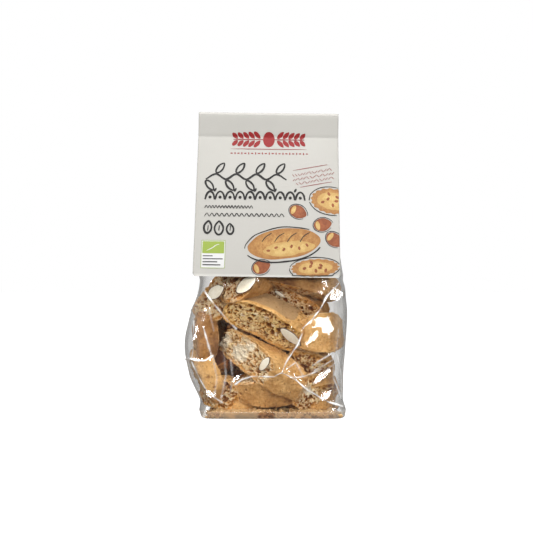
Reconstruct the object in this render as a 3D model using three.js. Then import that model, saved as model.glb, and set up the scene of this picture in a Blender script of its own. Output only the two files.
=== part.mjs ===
import * as THREE from "three";

// A filled block-bottom bag of biscotti under a folded header card.
// Millimetres: x runs to the right, y to the back, z up. The bag stands on z = 0.
// The bag is one piece of film, here in two solids: the filled body and the flattened neck.

// Driving dimensions of the bag
const bandHeight = 5; // folded film round the block bottom
const bandProud = 0.6; // how far that band stands out
const footRadius = 0.9; // rounding under the band
const bandStep = 0.3; // the band's upper edge is this steep
const pressFade = 6; // presses and folds die out this far from the band and the card
const pressEdge = 3; // how suddenly a pressed-out place ends
const pinchStart = 78; // height where the side gussets begin to fold in
const pinchDepth = 12; // how far they are folded in at the mouth
const pinchSharpness = 1.6;
const neckStart = 96; // just over the card's lower edge: here the filled body ends and the neck begins
const seamGap = 0.3;
const mouthHeight = 193; // from here up the film lies flat between the panels
const bagTop = 204;
const mouthHalf = 1.2; // half of the flattened film's thickness

// Driving dimensions of the card
const cardWidth = 98.8;
const cardTop = 211; // outside of the fold
const cardSheet = 0.7; // thickness of the board
const cardCrease = 193; // below this line the two panels spread apart
const cardBottom = 95;
const cardFlatHalf = 1.9; // from the middle to the inside of a panel, above the crease
const cardSpreadHalf = 27.5; // the same at the lower edge
const cardBow = 1.1; // how far the leaning panels are pushed out in their middle
const cardShift = 1.3; // the card sits a little right of the bag's middle
const cardRoll = THREE.MathUtils.degToRad(0.75); // and slightly turned, its right side lower

// The bag's outline at named heights: reach to each side, depth to front and back,
// and how square the section is (2 is an ellipse).
const stations = [
  { z: 0, left: 44, right: 53, front: 27.6, back: 27.6, square: 9 },
  { z: 10, left: 47.5, right: 54.8, front: 29.6, back: 29.2, square: 6.5 },
  { z: 28, left: 55.6, right: 55.6, front: 31.4, back: 31, square: 4.4 },
  { z: 47, left: 59.2, right: 57, front: 32, back: 31.8, square: 3.8 },
  { z: 70, left: 55, right: 58.4, front: 31.2, back: 31, square: 3.8 },
  { z: 87, left: 49.2, right: 57, front: 28.8, back: 28.6, square: 4.2 },
  { z: neckStart, left: 48.4, right: 54.6, front: 26.3, back: 26.3, square: 4.6 },
  { z: 120, left: 47.4, right: 51, front: 19.8, back: 19.8, square: 5 },
  { z: 160, left: 46.8, right: 49, front: 9.2, back: 9.2, square: 5 },
  { z: mouthHeight, left: 46.4, right: 48.6, front: mouthHalf, back: mouthHalf, square: 5 },
  { z: bagTop, left: 46.4, right: 48.6, front: mouthHalf, back: mouthHalf, square: 5 },
];

// Where biscuits press the film out: middle, half length, half height, slope and rise.
const frontPresses = [
  { x: -3, z: 63, long: 30, high: 9, slope: -31, rise: 2.2 },
  { x: -3, z: 37, long: 30, high: 9, slope: -33, rise: 2.4 },
  { x: -23, z: 86, long: 22, high: 7, slope: 12, rise: 1.3 },
  { x: 39, z: 50, long: 13, high: 13, slope: 0, rise: 2 },
  { x: -44, z: 28, long: 15, high: 9, slope: -70, rise: 1.6 },
  { x: 1, z: 16, long: 24, high: 7, slope: -4, rise: 1.4 },
  { x: 30, z: 22, long: 11, high: 9, slope: 50, rise: 1.2 },
];
const backPresses = [
  { x: 8, z: 68, long: 28, high: 9, slope: 24, rise: 2.2 },
  { x: -6, z: 42, long: 30, high: 9, slope: -20, rise: 2.2 },
  { x: 12, z: 18, long: 26, high: 8, slope: 12, rise: 1.6 },
  { x: -40, z: 60, long: 14, high: 10, slope: 75, rise: 1.6 },
  { x: 42, z: 40, long: 14, high: 10, slope: -75, rise: 1.6 },
];

// Long folds of the stretched film on the front: both ends, rise and half width.
const folds = [
  { from: [-43, 86], to: [-21, 61], rise: 0.8, half: 4 },
  { from: [50, 91], to: [22, 58], rise: 0.9, half: 4 },
  { from: [24, 60], to: [5, 29], rise: 0.9, half: 4 },
  { from: [10, 32], to: [52, 8], rise: 0.9, half: 4 },
  { from: [5, 29], to: [-21, 26], rise: 0.8, half: 4 },
];

// A curve through values at given places that never overshoots between two of them.
function smoothThrough(places, values, at) {
  const last = places.length - 1;
  if (at <= places[0]) return values[0];
  if (at >= places[last]) return values[last];
  const rises = values.slice(1).map((v, i) => (v - values[i]) / (places[i + 1] - places[i]));
  const slopeAt = (i) => {
    if (i === 0) return rises[0];
    if (i === last) return rises[last - 1];
    const product = rises[i - 1] * rises[i];
    return product <= 0 ? 0 : (2 * product) / (rises[i - 1] + rises[i]);
  };
  const i = places.findIndex((p) => p > at) - 1;
  const span = places[i + 1] - places[i];
  const t = (at - places[i]) / span;
  const start = values[i] * (1 + 2 * t) * (1 - t) ** 2 + slopeAt(i) * span * t * (1 - t) ** 2;
  const end = values[i + 1] * t * t * (3 - 2 * t) - slopeAt(i + 1) * span * t * t * (1 - t);
  return start + end;
}

function outlineAt(z) {
  const places = stations.map((s) => s.z);
  const read = (key) => smoothThrough(places, stations.map((s) => s[key]), z);
  return {
    left: read("left"),
    right: read("right"),
    front: read("front"),
    back: read("back"),
    square: read("square"),
  };
}

// One quarter of a rounded-square section, its points evenly spaced along the edge.
const quarterSteps = 20;
const fineSteps = 240;
function quarterSection(reach, depth, square) {
  const fine = [];
  for (let i = 0; i <= fineSteps; i++) {
    const angle = ((Math.PI / 2) * i) / fineSteps;
    const x = reach * Math.cos(angle) ** (2 / square);
    const y = depth * Math.sin(angle) ** (2 / square);
    fine.push(new THREE.Vector3(x, y, 0));
  }
  fine[fineSteps].x = 0;
  const path = new THREE.CurvePath();
  for (let i = 0; i < fineSteps; i++) {
    path.add(new THREE.LineCurve3(fine[i], fine[i + 1]));
  }
  const points = [];
  for (let i = 0; i < quarterSteps; i++) {
    points.push(path.getPointAt(i / quarterSteps));
  }
  points.push(fine[fineSteps]);
  return points;
}

// The whole section at one height, counter-clockwise from the right side.
function sectionPoints(outline) {
  const sides = [
    { reach: outline.right, depth: outline.back, signX: 1, signY: 1, turn: false },
    { reach: outline.left, depth: outline.back, signX: -1, signY: 1, turn: true },
    { reach: outline.left, depth: outline.front, signX: -1, signY: -1, turn: false },
    { reach: outline.right, depth: outline.front, signX: 1, signY: -1, turn: true },
  ];
  const ring = [];
  for (const side of sides) {
    const quarter = quarterSection(side.reach, side.depth, outline.square);
    if (side.turn) quarter.reverse();
    for (let i = 0; i < quarterSteps; i++) {
      ring.push(new THREE.Vector2(side.signX * quarter[i].x, side.signY * quarter[i].y));
    }
  }
  return ring;
}

// How far the presses and folds lift the film at one point of the front or back.
function liftAt(x, z, presses, creases) {
  let lift = 0;
  for (const press of presses) {
    const slope = THREE.MathUtils.degToRad(press.slope);
    const along = (x - press.x) * Math.cos(slope) + (z - press.z) * Math.sin(slope);
    const across = (z - press.z) * Math.cos(slope) - (x - press.x) * Math.sin(slope);
    const far = (along / press.long) ** 2 + (across / press.high) ** 2;
    lift += press.rise * Math.exp(-(far ** (pressEdge / 2)));
  }
  for (const crease of creases) {
    const from = new THREE.Vector2(...crease.from);
    const run = new THREE.Vector2(...crease.to).sub(from);
    const reach = new THREE.Vector2(x, z).sub(from);
    const t = THREE.MathUtils.clamp(reach.dot(run) / run.lengthSq(), 0, 1);
    const gap = reach.sub(run.multiplyScalar(t)).length();
    lift += crease.rise * Math.max(0, 1 - gap / crease.half);
  }
  return lift;
}

// Heights of the rings: close together at the base, then even, wider inside the card.
function evenSteps(from, to, count) {
  return Array.from({ length: count }, (_, i) => from + ((to - from) * i) / count);
}
const bodySteps = 22;
const neckSteps = 11;
const bodyHeights = [
  0,
  footRadius / 3,
  footRadius,
  bandHeight / 2,
  bandHeight - bandStep,
  bandHeight + bandStep,
  ...evenSteps(bandHeight + 2, neckStart, bodySteps),
  neckStart,
];
const neckHeights = [
  ...evenSteps(neckStart + seamGap, mouthHeight, neckSteps),
  mouthHeight,
  (mouthHeight + bagTop) / 2,
  bagTop,
];

function bagRing(z) {
  const outline = outlineAt(z);
  const ring = sectionPoints(outline);
  const underFoot = Math.max(0, 1 - z / footRadius);
  const tuck = footRadius * (1 - Math.sqrt(1 - underFoot ** 2));
  const proud = z < bandHeight ? bandProud - tuck : 0;
  const pinch = THREE.MathUtils.smoothstep(z, pinchStart, mouthHeight);
  const fadeLow = THREE.MathUtils.smoothstep(z, bandHeight, bandHeight + pressFade);
  const fadeHigh = 1 - THREE.MathUtils.smoothstep(z, neckStart - pressFade, neckStart);
  return ring.map((point) => {
    const front = point.y < 0;
    const reach = point.x < 0 ? outline.left : outline.right;
    const depth = front ? outline.front : outline.back;
    const sideways = Math.max(0, 1 - Math.abs(point.y) / depth);
    const fold = pinchDepth * pinch * sideways ** pinchSharpness;
    const outward = new THREE.Vector2(point.x / reach ** 2, point.y / depth ** 2).normalize();
    const presses = front ? frontPresses : backPresses;
    const lift = liftAt(point.x, z, presses, front ? folds : []) * fadeLow * fadeHigh;
    const moved = point.clone().addScaledVector(outward, lift * Math.abs(outward.y) + proud);
    moved.x -= Math.sign(point.x) * Math.min(fold, Math.abs(point.x));
    return new THREE.Vector3(moved.x, moved.y, z);
  });
}

// A closed body from rings of equal count, with a flat cap at each end.
function bodyFromRings(rings) {
  const count = rings[0].length;
  const positions = rings.flat().flatMap((p) => [p.x, p.y, p.z]);
  const triangles = [];
  for (let r = 0; r + 1 < rings.length; r++) {
    for (let i = 0; i < count; i++) {
      const a = r * count + i;
      const b = r * count + ((i + 1) % count);
      triangles.push(a, b, b + count);
      triangles.push(a, b + count, a + count);
    }
  }
  // Each cap is a ladder between the front half and the back half of its ring.
  const half = count / 2;
  const lastRing = (rings.length - 1) * count;
  for (let i = 0; i < half; i++) {
    const back = [i, i + 1];
    const front = [(count - i) % count, count - i - 1];
    if (i > 0) {
      triangles.push(back[0], front[0], back[1]);
      triangles.push(lastRing + back[0], lastRing + back[1], lastRing + front[0]);
    }
    if (i + 1 < half) {
      triangles.push(front[0], front[1], back[1]);
      triangles.push(lastRing + front[0], lastRing + back[1], lastRing + front[1]);
    }
  }
  const geometry = new THREE.BufferGeometry();
  geometry.setAttribute("position", new THREE.Float32BufferAttribute(positions, 3));
  geometry.setIndex(triangles);
  geometry.computeVertexNormals();
  return geometry;
}

// The card as a strip: stations from the front panel's lower edge over the fold to the back.
const panelSteps = 8;
const foldSteps = 8;
const widthSteps = 12;
function cardStrip(half) {
  const strip = [];
  const inset = half - cardFlatHalf; // 0 on the inside of the board, its thickness outside
  for (let i = 0; i <= panelSteps; i++) {
    const t = i / panelSteps;
    const y = THREE.MathUtils.lerp(cardSpreadHalf + inset, half, t);
    strip.push({ y, z: THREE.MathUtils.lerp(cardBottom, cardCrease, t), bow: Math.sin(Math.PI * t) });
  }
  const foldCentre = cardTop - cardSheet - cardFlatHalf;
  for (let i = 0; i < foldSteps; i++) {
    const angle = ((Math.PI / 2) * i) / foldSteps;
    const y = half * Math.cos(angle);
    strip.push({ y, z: foldCentre + half * Math.sin(angle), bow: 0 });
  }
  const top = { y: 0, z: foldCentre + half, bow: 0 };
  const frontHalf = strip.map((s) => ({ y: -s.y, z: s.z, bow: -s.bow }));
  return [...frontHalf, top, ...strip.reverse()];
}

function makeCard() {
  const inside = cardStrip(cardFlatHalf);
  const outside = cardStrip(cardFlatHalf + cardSheet);
  const rings = [];
  for (let c = 0; c <= widthSteps; c++) {
    const x = cardWidth * (c / widthSteps - 0.5);
    const crown = Math.cos((Math.PI * x) / cardWidth);
    const place = (s) => new THREE.Vector3(x, s.y + s.bow * cardBow * crown, s.z);
    rings.push([...outside.map(place), ...[...inside].reverse().map(place)]);
  }
  const count = rings[0].length;
  const across = outside.length;
  const positions = rings.flat().flatMap((p) => [p.x, p.y, p.z]);
  const triangles = [];
  for (let r = 0; r < widthSteps; r++) {
    for (let i = 0; i < count; i++) {
      const a = r * count + i;
      const b = r * count + ((i + 1) % count);
      triangles.push(a, b + count, b);
      triangles.push(a, a + count, b + count);
    }
  }
  const lastRing = widthSteps * count;
  for (let i = 0; i + 1 < across; i++) {
    const outer = [i, i + 1];
    const inner = [count - 1 - i, count - 2 - i];
    triangles.push(outer[0], outer[1], inner[1]);
    triangles.push(outer[0], inner[1], inner[0]);
    triangles.push(lastRing + outer[0], lastRing + inner[1], lastRing + outer[1]);
    triangles.push(lastRing + outer[0], lastRing + inner[0], lastRing + inner[1]);
  }
  const geometry = new THREE.BufferGeometry();
  geometry.setAttribute("position", new THREE.Float32BufferAttribute(positions, 3));
  geometry.setIndex(triangles);
  geometry.computeVertexNormals();
  return geometry;
}

const biscottiBag = new THREE.Group();

const bag = new THREE.Mesh(
  bodyFromRings(bodyHeights.map(bagRing)),
  new THREE.MeshStandardMaterial({ color: "#c69a63", roughness: 0.25, metalness: 0 }),
);
bag.name = "bag";
biscottiBag.add(bag);

const bagNeck = new THREE.Mesh(
  bodyFromRings(neckHeights.map(bagRing)),
  new THREE.MeshStandardMaterial({ color: "#d5d2cd", roughness: 0.2, metalness: 0 }),
);
bagNeck.name = "bag_neck";
biscottiBag.add(bagNeck);

const headerCard = new THREE.Mesh(
  makeCard(),
  new THREE.MeshStandardMaterial({ color: "#dad6ce", roughness: 0.75, metalness: 0 }),
);
headerCard.name = "header_card";
headerCard.position.x = cardShift;
headerCard.position.z = cardCrease;
headerCard.rotation.y = cardRoll;
headerCard.geometry.translate(0, 0, -cardCrease);
biscottiBag.add(headerCard);

// The origin is the middle of the footprint of the whole pack.
biscottiBag.updateMatrixWorld(true);
const extent = new THREE.Box3().setFromObject(biscottiBag, true);
const middle = extent.getCenter(new THREE.Vector3());
biscottiBag.position.set(-middle.x, -middle.y, -extent.min.z);

export default biscottiBag;
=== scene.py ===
import math

import bmesh
import bpy
import numpy as np
from mathutils import Matrix, Vector


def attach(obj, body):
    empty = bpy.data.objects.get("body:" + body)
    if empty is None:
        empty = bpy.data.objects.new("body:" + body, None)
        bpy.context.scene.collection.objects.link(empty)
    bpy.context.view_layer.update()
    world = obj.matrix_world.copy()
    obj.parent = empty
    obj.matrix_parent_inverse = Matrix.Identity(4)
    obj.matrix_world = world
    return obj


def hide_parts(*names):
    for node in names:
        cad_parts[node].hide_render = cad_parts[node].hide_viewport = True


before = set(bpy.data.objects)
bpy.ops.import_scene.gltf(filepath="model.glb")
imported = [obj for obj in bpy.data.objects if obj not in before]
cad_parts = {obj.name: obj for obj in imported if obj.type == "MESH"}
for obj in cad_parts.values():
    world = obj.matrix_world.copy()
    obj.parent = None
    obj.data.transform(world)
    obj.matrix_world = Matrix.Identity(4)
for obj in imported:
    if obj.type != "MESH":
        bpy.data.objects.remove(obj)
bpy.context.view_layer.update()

# Pieces are laid out in millimetres from the bag's middle: x right, y back, z up.
mm = 0.001
bagMiddle = np.array((0.41, 0.45, 0.0))  # that middle in the frame
scene = bpy.context.scene


def toFrame(points):
    return (np.asarray(points, float) + bagMiddle) * mm


def smoothStep(low, high, values):
    t = np.clip((values - low) / (high - low), 0, 1)
    return t * t * (3 - 2 * t)


def turnedBy(x, y, degrees):
    a = math.radians(degrees)
    return x * math.cos(a) - y * math.sin(a), x * math.sin(a) + y * math.cos(a)


noiseSide = 24


# Smooth random values from -1 to 1, with a bump about every size millimetres.
def latticeNoise(points, size, seed):
    grid = np.random.default_rng(seed).uniform(-1, 1, (noiseSide,) * 3)
    at = np.asarray(points, float) / size + 500.0
    cell = np.floor(at).astype(int)
    t = at - cell
    t = t * t * (3 - 2 * t)
    total = np.zeros(len(at))
    for corner in np.ndindex(2, 2, 2):
        share = np.ones(len(at))
        for axis, far in enumerate(corner):
            share *= t[:, axis] if far else 1 - t[:, axis]
        x, y, z = ((cell + corner) % noiseSide).T
        total += share * grid[x, y, z]
    return total


# The same over a plane; third chooses which cut through the noise.
def planeNoise(x, y, size, seed, third=0.0):
    points = np.stack(np.broadcast_arrays(x, y, third), -1)
    return latticeNoise(points.reshape(-1, 3), size, seed).reshape(points.shape[:-1])


# A smooth curve through p1 and p2, with the points before and after them.
def curveBetween(p0, p1, p2, p3, t):
    bend = (2 * p0 - 5 * p1 + 4 * p2 - p3) * t**2 + (3 * p1 - p0 - 3 * p2 + p3) * t**3
    return 0.5 * (2 * p1 + (p2 - p0) * t + bend)


def setMasks(mesh, masks):
    for name, values in masks.items():
        layer = mesh.attributes.new(name, "FLOAT", "POINT")
        layer.data.foreach_set("value", np.asarray(values, np.float32))


def addPiece(name, points, faces, material, masks=None):
    mesh = bpy.data.meshes.new(name)
    mesh.from_pydata(np.asarray(points).tolist(), [], faces)
    return dressPiece(name, mesh, material, masks)


def dressPiece(name, mesh, material, masks=None):
    mesh.update()
    mesh.shade_smooth()
    mesh.materials.append(material)
    setMasks(mesh, masks or {})
    piece = bpy.data.objects.new(name, mesh)
    scene.collection.objects.link(piece)
    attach(piece, "root")
    return piece


def readVectors(items, key):
    values = np.empty(len(items) * 3, np.float32)
    items.foreach_get(key, values)
    return values.reshape(-1, 3).astype(float)


def offsetFaces(faces, start):
    return [tuple(v + start for v in face) for face in faces]


# Faces of a grid of points, row by row; around joins the last column to the first.
def gridFaces(rows, columns, around=False):
    faces = []
    for row in range(rows - 1):
        for column in range(columns if around else columns - 1):
            a = row * columns + column
            b = row * columns + (column + 1) % columns
            faces.append((a, b, b + columns, a + columns))
    return faces


# The same with a second layer of points behind the first, and the rim between them.
# endsInward turns the rim's first and last row over, which keeps it as pale as the sheet.
def sheetFaces(rows, columns, rimmed=True, endsInward=False):
    behind = rows * columns
    faces = gridFaces(rows, columns)
    faces += offsetFaces([face[::-1] for face in faces], behind)
    if rimmed:
        grid = np.arange(behind).reshape(rows, columns)
        rim = np.concatenate([grid[0, :-1], grid[:-1, -1], grid[-1, :0:-1], grid[:0:-1, 0]]).tolist()
        for a, b in zip(rim, rim[1:] + rim[:1]):
            face = (b, a, a + behind, b + behind)
            alongRow = abs(a - b) == 1
            faces.append(face[::-1] if endsInward and alongRow else face)
    return faces


# Many small shapes that make up one piece.
def newPile():
    return {"points": [], "faces": [], "mask": [], "count": 0}


def addShape(pile, points, faces, mask=0.0):
    pile["points"].append(points)
    pile["faces"] += offsetFaces(faces, pile["count"])
    pile["mask"].append(np.full(len(points), mask))
    pile["count"] += len(points)


def addPile(name, pile, material, maskName=None):
    masks = {maskName: np.concatenate(pile["mask"])} if maskName else None
    addPiece(name, toFrame(np.concatenate(pile["points"])), pile["faces"], material, masks)


# Material helpers.
def newMaterial(name):
    material = bpy.data.materials.new(name)
    material.use_nodes = True
    tree = material.node_tree
    tree.nodes.clear()
    output = tree.nodes.new("ShaderNodeOutputMaterial")
    return material, tree, output


def newGroup(name, inputs, outputs):
    group = bpy.data.node_groups.new(name, "ShaderNodeTree")
    kinds = {"value": "NodeSocketFloat", "colour": "NodeSocketColor"}
    for label, kind, default in inputs:
        socket = group.interface.new_socket(label, in_out="INPUT", socket_type=kinds[kind])
        socket.default_value = default
    for label, kind in outputs:
        group.interface.new_socket(label, in_out="OUTPUT", socket_type=kinds[kind])
    return group, group.nodes.new("NodeGroupInput"), group.nodes.new("NodeGroupOutput")


# Sets a node's input to a number or colour, or links it to another node's output.
def setInput(tree, socket, value):
    if isinstance(value, bpy.types.NodeSocket):
        tree.links.new(value, socket)
    elif socket.type == "RGBA" and len(value) == 3:
        socket.default_value = (*value, 1)
    else:
        socket.default_value = value


def place(tree, kind, settings=None, inputs=None, **values):
    node = tree.nodes.new(kind)
    for key, value in (settings or {}).items():
        setattr(node, key, value)
    named = {key.replace("_", " "): value for key, value in values.items()}
    for key, value in {**(inputs or {}), **named}.items():
        setInput(tree, node.inputs[key], value)
    return node


def maths(tree, operation, first, second, clamp=False):
    settings = {"operation": operation, "use_clamp": clamp}
    return place(tree, "ShaderNodeMath", settings, {0: first, 1: second}).outputs[0]


def mixColours(tree, share, first, second, blend="MIX"):
    settings = {"data_type": "RGBA", "blend_type": blend}
    return place(tree, "ShaderNodeMix", settings, {0: share, 6: first, 7: second}).outputs[2]


# Colours laid over a first one, each by its own share.
def coated(tree, colour, coats):
    for share, coat in coats:
        colour = mixColours(tree, share, colour, coat)
    return colour


def rangeOf(tree, value, low, high, start=0.0, end=1.0):
    limits = {"Value": value, "From Min": low, "From Max": high, "To Min": start, "To Max": end}
    return place(tree, "ShaderNodeMapRange", {"interpolation_type": "SMOOTHSTEP"}, limits).outputs[0]


def objectPlace(tree):
    return tree.nodes.new("ShaderNodeTexCoord").outputs["Object"]


def noiseValue(tree, scale, detail=3.0, roughness=0.55, vector=None):
    values = {"Scale": scale, "Detail": detail, "Roughness": roughness, "Vector": vector or objectPlace(tree)}
    return place(tree, "ShaderNodeTexNoise", None, values).outputs["Fac"]


# Noise drawn out along one way.
def stretchedNoise(tree, scale, detail, roughness, stretch, turn=(0, 0, 0)):
    mapping = place(tree, "ShaderNodeMapping", Vector=objectPlace(tree), Scale=stretch, Rotation=turn)
    return noiseValue(tree, scale, detail, roughness, mapping.outputs[0])


def maskValue(tree, name):
    return place(tree, "ShaderNodeAttribute", {"attribute_name": name}).outputs["Fac"]


def bumpFrom(tree, height, strength, distance):
    bump = place(tree, "ShaderNodeBump", Height=height, Strength=strength, Distance=distance)
    return bump.outputs["Normal"]


def mixShaders(tree, share, first, second):
    inputs = {0: share, 1: first.outputs[0], 2: second.outputs[0]}
    return place(tree, "ShaderNodeMixShader", None, inputs)


def surface(tree, output, **values):
    shader = place(tree, "ShaderNodeBsdfPrincipled", **values)
    tree.links.new(shader.outputs[0], output.inputs[0])


# Two tones that drift into each other, with a second finer drift over them.
def makeDriftGroup():
    group, inputs, outputs = newGroup(
        "twoToneDrift",
        [
            ("Tone A", "colour", (0.5, 0.5, 0.5, 1)),
            ("Tone B", "colour", (0.4, 0.4, 0.4, 1)),
            ("Broad Scale", "value", 90.0),
            ("Fine Scale", "value", 500.0),
            ("Fine Share", "value", 0.4),
        ],
        [("Colour", "colour")],
    )
    given = inputs.outputs
    coordinates = objectPlace(group)
    broad, fine = (
        rangeOf(group, noiseValue(group, given[label], 3.0, 0.6, coordinates), 0.34, 0.66)
        for label in ("Broad Scale", "Fine Scale")
    )
    mixed = place(group, "ShaderNodeMix", {"data_type": "FLOAT"}, {0: given["Fine Share"], 2: broad, 3: fine})
    colour = mixColours(group, mixed.outputs[0], given["Tone A"], given["Tone B"])
    group.links.new(colour, outputs.inputs["Colour"])
    return group


# Small round holes or bubbles: a mask that is 1 inside them.
def makeSpeckGroup():
    group, inputs, outputs = newGroup(
        "specks",
        [("Scale", "value", 800.0), ("Size", "value", 0.3), ("Share", "value", 0.5)],
        [("Mask", "value")],
    )
    given = inputs.outputs
    coordinates = objectPlace(group)
    wobble = place(group, "ShaderNodeTexNoise", Vector=coordinates, Scale=900.0, Detail=2.0)
    shift = place(
        group, "ShaderNodeVectorMath", {"operation": "MULTIPLY_ADD"},
        {0: wobble.outputs["Color"], 1: (0.0012,) * 3, 2: coordinates},
    )
    cells = place(group, "ShaderNodeTexVoronoi", Vector=shift.outputs[0], Scale=given["Scale"])
    split = place(group, "ShaderNodeSeparateColor", Color=cells.outputs["Color"])
    kept = maths(group, "LESS_THAN", split.outputs[0], given["Share"])
    size = maths(group, "MULTIPLY", given["Size"], split.outputs[1])
    near = maths(group, "SUBTRACT", size, cells.outputs["Distance"])
    soft = maths(group, "MULTIPLY", near, 9.0, clamp=True)
    group.links.new(maths(group, "MULTIPLY", soft, kept), outputs.inputs["Mask"])
    return group


driftGroup = makeDriftGroup()
speckGroup = makeSpeckGroup()


def driftColour(tree, toneA, toneB, broad, fine, share):
    values = {"Tone A": toneA, "Tone B": toneB, "Broad Scale": broad, "Fine Scale": fine, "Fine Share": share}
    return place(tree, "ShaderNodeGroup", {"node_tree": driftGroup}, values).outputs["Colour"]


def speckMask(tree, scale, size, share):
    values = {"Scale": scale, "Size": size, "Share": share}
    return place(tree, "ShaderNodeGroup", {"node_tree": speckGroup}, values).outputs["Mask"]


# A matte surface of two drifting tones. grain: scale, detail, strength and distance of its bump;
# edge: a mask, its low and high limit, and the most that it adds of a colour.
def matteMaterial(name, tones, drift, roughness, specular, grain=None, edge=None):
    material, tree, output = newMaterial(name)
    values = {"Roughness": roughness, "Specular_IOR_Level": specular}
    colour = driftColour(tree, *tones, *drift)
    if edge:
        mask, low, high, most, edgeColour = edge
        share = rangeOf(tree, maskValue(tree, mask), low, high, 0.0, most)
        colour = mixColours(tree, share, colour, edgeColour)
    if grain:
        scale, detail, strength, distance = grain
        values["Normal"] = bumpFrom(tree, noiseValue(tree, scale, detail), strength, distance)
    surface(tree, output, Base_Color=colour, **values)
    return material


# Camera, floor, backdrop and lights.
view = {"distance": 457, "height": 102, "lens": 43.43, "sensor": 36}
camera = bpy.data.objects.new("camera", bpy.data.cameras.new("camera"))
camera.data.lens = view["lens"]
camera.data.sensor_width = view["sensor"]
camera.data.sensor_fit = "HORIZONTAL"
camera.data.clip_start = 0.01
camera.location = toFrame((0, -view["distance"], view["height"]))
camera.rotation_euler = (math.pi / 2, 0, 0)
scene.collection.objects.link(camera)
scene.camera = camera
scene.view_settings.view_transform = "Standard"
scene.cycles.transparent_max_bounces = 24

studio = {
    "floorSize": 4.0,
    "floorColour": (0.2, 0.2, 0.2),
    "floorGlow": 1.02,
    "backdrop": (1.0, 1.0, 1.0),
    "surround": 0.42,
    "frontSurround": 0.1,  # the dark side of the room, where the camera stands
    "lights": [  # name, azimuth and elevation from the pack, distance, width, height, brightness
        ("rightPanel", 31, 16, 0.85, 0.13, 0.24, 38.0),
        ("leftPanel", -48, 16, 0.85, 0.09, 0.24, 50.0),
        ("topPanel", 2, 69, 0.8, 0.6, 0.5, 9.4),
    ],
}


def makeStudio():
    half = studio["floorSize"] / 2
    mesh = bpy.data.meshes.new("floor")
    corners = [(-half, -half, 0), (half, -half, 0), (half, half, 0), (-half, half, 0)]
    mesh.from_pydata(corners, [], [(0, 1, 2, 3)])
    floor = bpy.data.objects.new("floor", mesh)
    scene.collection.objects.link(floor)
    material, tree, output = newMaterial("paleFloor")
    path = tree.nodes.new("ShaderNodeLightPath")  # the glow keeps the seen floor white and lights nothing
    glow = maths(tree, "MULTIPLY", path.outputs["Is Camera Ray"], studio["floorGlow"])
    surface(tree, output, Base_Color=studio["floorColour"], Roughness=0.9, Specular_IOR_Level=0.1,
            Emission_Color=(1, 1, 1), Emission_Strength=glow)
    mesh.materials.append(material)

    world = bpy.data.worlds.new("studio")
    scene.world = world
    world.use_nodes = True
    tree = world.node_tree
    tree.nodes.clear()
    output = tree.nodes.new("ShaderNodeOutputWorld")
    generated = tree.nodes.new("ShaderNodeTexCoord").outputs["Generated"]
    direction = place(tree, "ShaderNodeSeparateXYZ", Vector=generated)
    dim = rangeOf(tree, direction.outputs["Y"], -0.9, -0.1, studio["frontSurround"], studio["surround"])
    around = place(tree, "ShaderNodeBackground", Color=(1, 0.99, 0.97), Strength=dim)
    seen = place(tree, "ShaderNodeBackground", Color=studio["backdrop"], Strength=1.0)
    path = tree.nodes.new("ShaderNodeLightPath")
    mixed = mixShaders(tree, path.outputs["Is Camera Ray"], around, seen)
    tree.links.new(mixed.outputs[0], output.inputs[0])

    target = Vector(toFrame((0, 0, 80)))
    for name, azimuth, elevation, distance, width, height, brightness in studio["lights"]:
        a, e = math.radians(azimuth), math.radians(elevation)
        away = Vector((math.sin(a) * math.cos(e), -math.cos(a) * math.cos(e), math.sin(e)))
        lamp = bpy.data.lights.new(name, "AREA")
        lamp.shape = "RECTANGLE"
        lamp.size, lamp.size_y = width, height
        lamp.energy = brightness * math.pi * width * height
        panel = bpy.data.objects.new(name, lamp)
        panel.location = target + away * distance
        panel.rotation_mode = "QUATERNION"
        panel.rotation_quaternion = away.to_track_quat("Z", "Y")
        scene.collection.objects.link(panel)


makeStudio()
print("studio made")

# The baked material of every slice: open crumb on the cut faces, crust elsewhere.
bake = {
    "crumbPale": (1.0, 0.89, 0.64),
    "crumbPaleLow": (0.73, 0.51, 0.245),
    "crumbGold": (1.0, 0.765, 0.32),
    "crumbShade": (0.62, 0.265, 0.05),
    # The two pore colours are painted shade: half shade at the lip of a hole, deep shade inside it.
    "paintedPoreHalfShade": (0.58, 0.238, 0.042),
    "paintedPoreShade": (0.23, 0.075, 0.013),
    "crustLight": (0.76, 0.46, 0.175),
    "crustBrown": (0.49, 0.242, 0.068),
    "crustDark": (0.14, 0.052, 0.015),
    "crustBeige": (0.335, 0.21, 0.108),
    "toast": (0.70, 0.32, 0.055),
    # pit is painted shade inside burst bubbles on the crust.
    "paintedPitShade": (0.24, 0.095, 0.024),
    "white": (0.98, 0.88, 0.68),
}


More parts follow.
